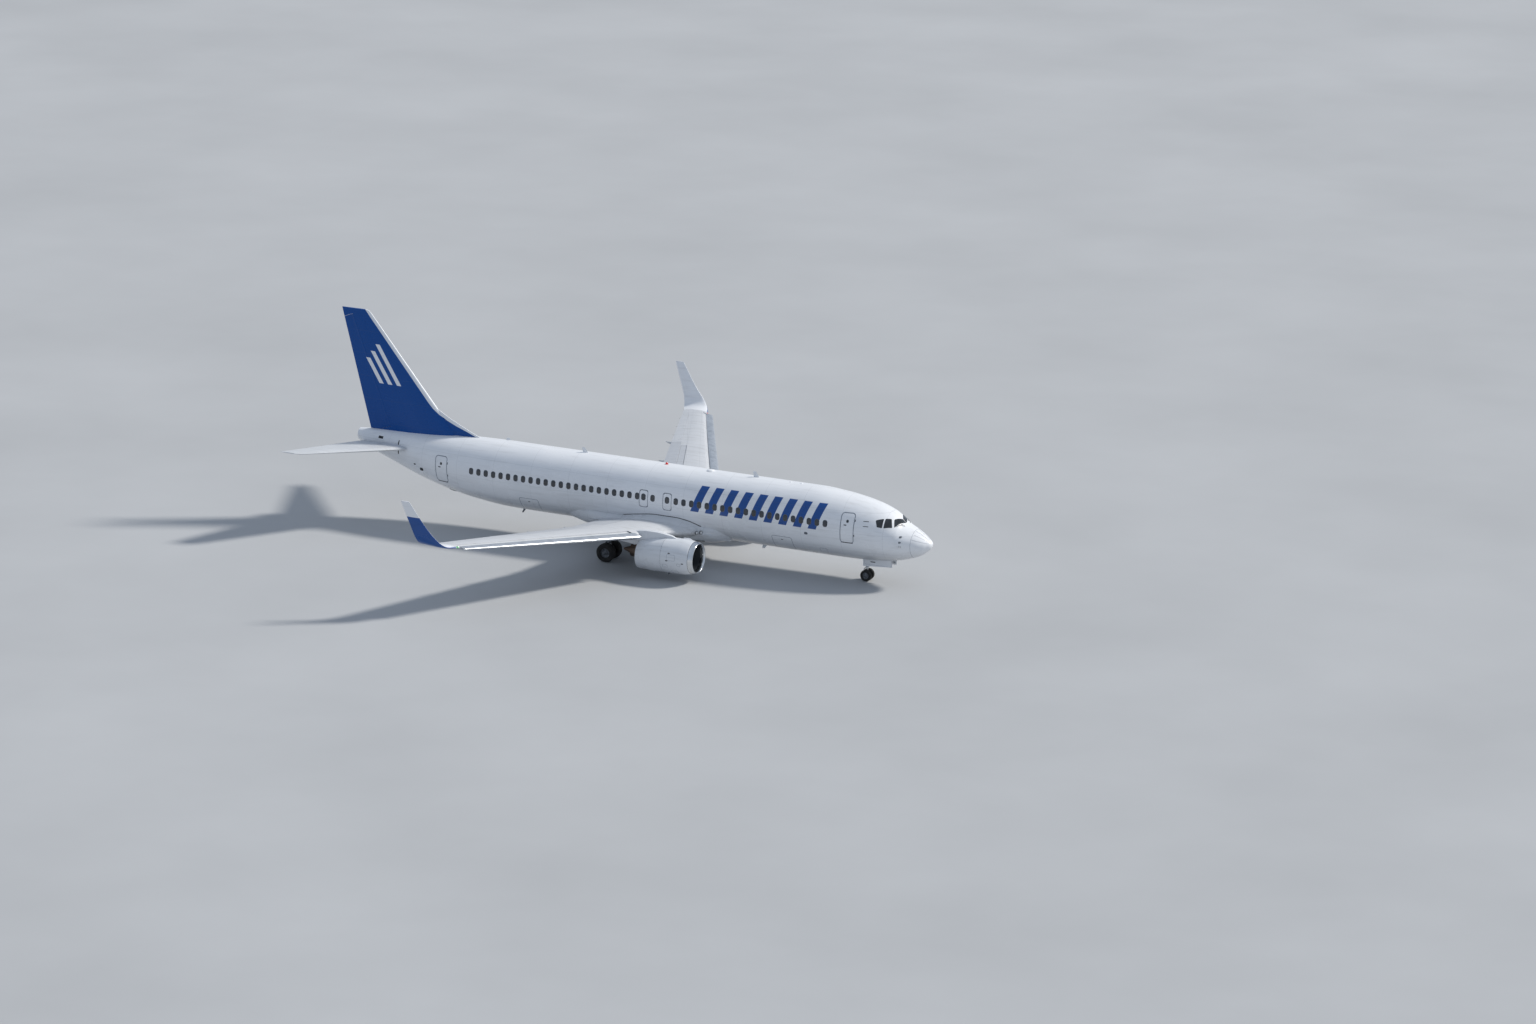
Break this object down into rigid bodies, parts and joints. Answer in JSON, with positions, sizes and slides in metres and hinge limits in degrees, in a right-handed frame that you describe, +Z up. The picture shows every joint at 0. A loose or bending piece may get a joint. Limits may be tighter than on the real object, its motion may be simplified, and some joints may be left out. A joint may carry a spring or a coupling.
{
  "type": "narrow-body airliner",
  "caption": "Full-size twin-engine low-wing jet airliner with blended winglets, parked on its gear, with turning wheels, fans, steering and flight controls",
  "frame": {"origin": "centre of the bounding box in plan, at ground level under the tyres", "axes": "+X forward to the nose, +Y to the port side, +Z up"},
  "size_m": [39.47, 35.789, 12.7442],
  "materials": {
    "white_paint": "gloss",
    "blue_paint": "gloss",
    "grey_paint": "satin",
    "bright_metal": "polished",
    "hot_metal": "satin",
    "gear_paint": "satin",
    "tyre": "matte",
    "dark_glass": "gloss"
  },
  "bodies": {
    "airframe": {"fuselage": "white_paint", "belly_fairing": "white_paint", "entry_door_front_left": "white_paint", "entry_door_rear_left": "white_paint", "service_door_front_right": "white_paint", "service_door_rear_right": "white_paint", "cockpit_glazing": "dark_glass", "wing_left": "grey_paint", "flap_inboard_left": "grey_paint", "flap_outboard_left": "grey_paint", "slats_left": "bright_metal", "inlet_lip_left": "bright_metal", "winglet_left": "blue_paint", "fan_cowl_left": "white_paint", "pylon_left": "white_paint", "engine_core_left": "hot_metal", "main_gear_left": "gear_paint", "nose_gear_door_left": "white_paint", "wing_right": "grey_paint", "flap_inboard_right": "grey_paint", "flap_outboard_right": "grey_paint", "slats_right": "bright_metal", "inlet_lip_right": "bright_metal", "winglet_right": "blue_paint", "fan_cowl_right": "white_paint", "pylon_right": "white_paint", "engine_core_right": "hot_metal", "main_gear_right": "gear_paint", "nose_gear_door_right": "white_paint", "fin": "blue_paint", "nose_gear_strut": "gear_paint"},
    "rudder": {"rudder": "blue_paint"},
    "stabiliser": {"stabiliser_left": "white_paint", "stabiliser_right": "white_paint"},
    "nose_steering_leg": {"nose_gear_leg": "gear_paint"},
    "nose_wheel_pair": {"nose_wheels": "gear_paint", "nose_tyre_left": "tyre", "nose_tyre_right": "tyre"},
    "aileron_left": {"aileron_left": "grey_paint"},
    "elevator_left": {"elevator_left": "white_paint"},
    "spoiler_inboard_left": {"spoiler_inboard_left": "grey_paint"},
    "spoiler_outboard_left": {"spoiler_outboard_left": "grey_paint"},
    "reverser_sleeve_left": {"reverser_sleeve_left": "white_paint"},
    "fan_left": {"fan_left": "bright_metal"},
    "overwing_exit_front_left": {"overwing_exit_front_left": "white_paint"},
    "overwing_exit_rear_left": {"overwing_exit_rear_left": "white_paint"},
    "main_wheel_pair_left": {"main_wheels_left": "gear_paint", "main_tyre_inner_left": "tyre", "main_tyre_outer_left": "tyre"},
    "aileron_right": {"aileron_right": "grey_paint"},
    "elevator_right": {"elevator_right": "white_paint"},
    "spoiler_inboard_right": {"spoiler_inboard_right": "grey_paint"},
    "spoiler_outboard_right": {"spoiler_outboard_right": "grey_paint"},
    "reverser_sleeve_right": {"reverser_sleeve_right": "white_paint"},
    "fan_right": {"fan_right": "bright_metal"},
    "overwing_exit_front_right": {"overwing_exit_front_right": "white_paint"},
    "overwing_exit_rear_right": {"overwing_exit_rear_right": "white_paint"},
    "main_wheel_pair_right": {"main_wheels_right": "gear_paint", "main_tyre_inner_right": "tyre", "main_tyre_outer_right": "tyre"}
  },
  "joints": [
    {"name": "rudder_hinge", "type": "hinge", "parent": "airframe", "child": "rudder", "pos_m": [-16.115, 0, 5.6331], "axis": [-0.3509, 0, 0.9364], "range_deg": [-26, 26]},
    {"name": "stabiliser_trim", "type": "hinge", "parent": "airframe", "child": "stabiliser", "pos_m": [-16.565, 0, 4.6388], "axis": [0, 1, 0], "range_deg": [-4.2, 12.9]},
    {"name": "elevator_hinge_left", "type": "hinge", "parent": "stabiliser", "child": "elevator_left", "pos_m": [-16.8789, 1.05, 4.6677], "axis": [-0.3738, 0.9224, 0.0969], "range_deg": [-20, 20]},
    {"name": "aileron_hinge_left", "type": "hinge", "parent": "airframe", "child": "aileron_left", "pos_m": [-2.2599, 11.9, 3.4523], "axis": [-0.3421, 0.9322, 0.1185], "range_deg": [-20, 20]},
    {"name": "spoiler_hinge_inboard_left", "type": "hinge", "parent": "airframe", "child": "spoiler_inboard_left", "pos_m": [1.2108, 3.15, 2.6015], "axis": [-0.2685, 0.96, 0.0792], "range_deg": [0, 60]},
    {"name": "spoiler_hinge_outboard_left", "type": "hinge", "parent": "airframe", "child": "spoiler_outboard_left", "pos_m": [0.3539, 6.35, 2.9011], "axis": [-0.3686, 0.9234, 0.107], "range_deg": [0, 60]},
    {"name": "exit_hinge_front_left", "type": "hinge", "parent": "airframe", "child": "overwing_exit_front_left", "pos_m": [3.455, 1.763, 4.1805], "axis": [0.9999, 0, -0.0124], "range_deg": [0, 90]},
    {"name": "exit_hinge_rear_left", "type": "hinge", "parent": "airframe", "child": "overwing_exit_rear_left", "pos_m": [1.905, 1.763, 4.1999], "axis": [0.9999, 0, -0.0124], "range_deg": [0, 90]},
    {"name": "fan_spin_left", "type": "hinge", "parent": "airframe", "child": "fan_left", "pos_m": [5.805, 4.83, 1.48], "axis": [1, 0, 0], "continuous": true},
    {"name": "main_wheels_spin_left", "type": "hinge", "parent": "airframe", "child": "main_wheel_pair_left", "pos_m": [0.135, 2.86, 0.565], "axis": [0, 1, 0], "continuous": true},
    {"name": "reverser_slide_left", "type": "slide", "parent": "airframe", "child": "reverser_sleeve_left", "axis": [-1, 0, 0], "range_m": [0, 0.45]},
    {"name": "elevator_hinge_right", "type": "hinge", "parent": "stabiliser", "child": "elevator_right", "pos_m": [-16.8789, -1.05, 4.6677], "axis": [0.3738, 0.9224, -0.0969], "range_deg": [-20, 20]},
    {"name": "aileron_hinge_right", "type": "hinge", "parent": "airframe", "child": "aileron_right", "pos_m": [-2.2599, -11.9, 3.4523], "axis": [0.3421, 0.9322, -0.1185], "range_deg": [-20, 20]},
    {"name": "spoiler_hinge_inboard_right", "type": "hinge", "parent": "airframe", "child": "spoiler_inboard_right", "pos_m": [1.2108, -3.15, 2.6015], "axis": [0.2685, 0.96, -0.0792], "range_deg": [0, 60]},
    {"name": "spoiler_hinge_outboard_right", "type": "hinge", "parent": "airframe", "child": "spoiler_outboard_right", "pos_m": [0.3539, -6.35, 2.9011], "axis": [0.3686, 0.9234, -0.107], "range_deg": [0, 60]},
    {"name": "exit_hinge_front_right", "type": "hinge", "parent": "airframe", "child": "overwing_exit_front_right", "pos_m": [3.455, -1.763, 4.1805], "axis": [-0.9999, 0, 0.0124], "range_deg": [0, 90]},
    {"name": "exit_hinge_rear_right", "type": "hinge", "parent": "airframe", "child": "overwing_exit_rear_right", "pos_m": [1.905, -1.763, 4.1999], "axis": [-0.9999, 0, 0.0124], "range_deg": [0, 90]},
    {"name": "fan_spin_right", "type": "hinge", "parent": "airframe", "child": "fan_right", "pos_m": [5.805, -4.83, 1.48], "axis": [1, 0, 0], "continuous": true},
    {"name": "main_wheels_spin_right", "type": "hinge", "parent": "airframe", "child": "main_wheel_pair_right", "pos_m": [0.135, -2.86, 0.565], "axis": [0, 1, 0], "continuous": true},
    {"name": "reverser_slide_right", "type": "slide", "parent": "airframe", "child": "reverser_sleeve_right", "axis": [-1, 0, 0], "range_m": [0, 0.45]},
    {"name": "nose_steering", "type": "hinge", "parent": "airframe", "child": "nose_steering_leg", "pos_m": [15.615, 0, 0.343], "axis": [0, 0, 1], "range_deg": [-78, 78]},
    {"name": "nose_wheels_spin", "type": "hinge", "parent": "nose_steering_leg", "child": "nose_wheel_pair", "pos_m": [15.615, 0, 0.343], "axis": [0, 1, 0], "continuous": true}
  ]
}
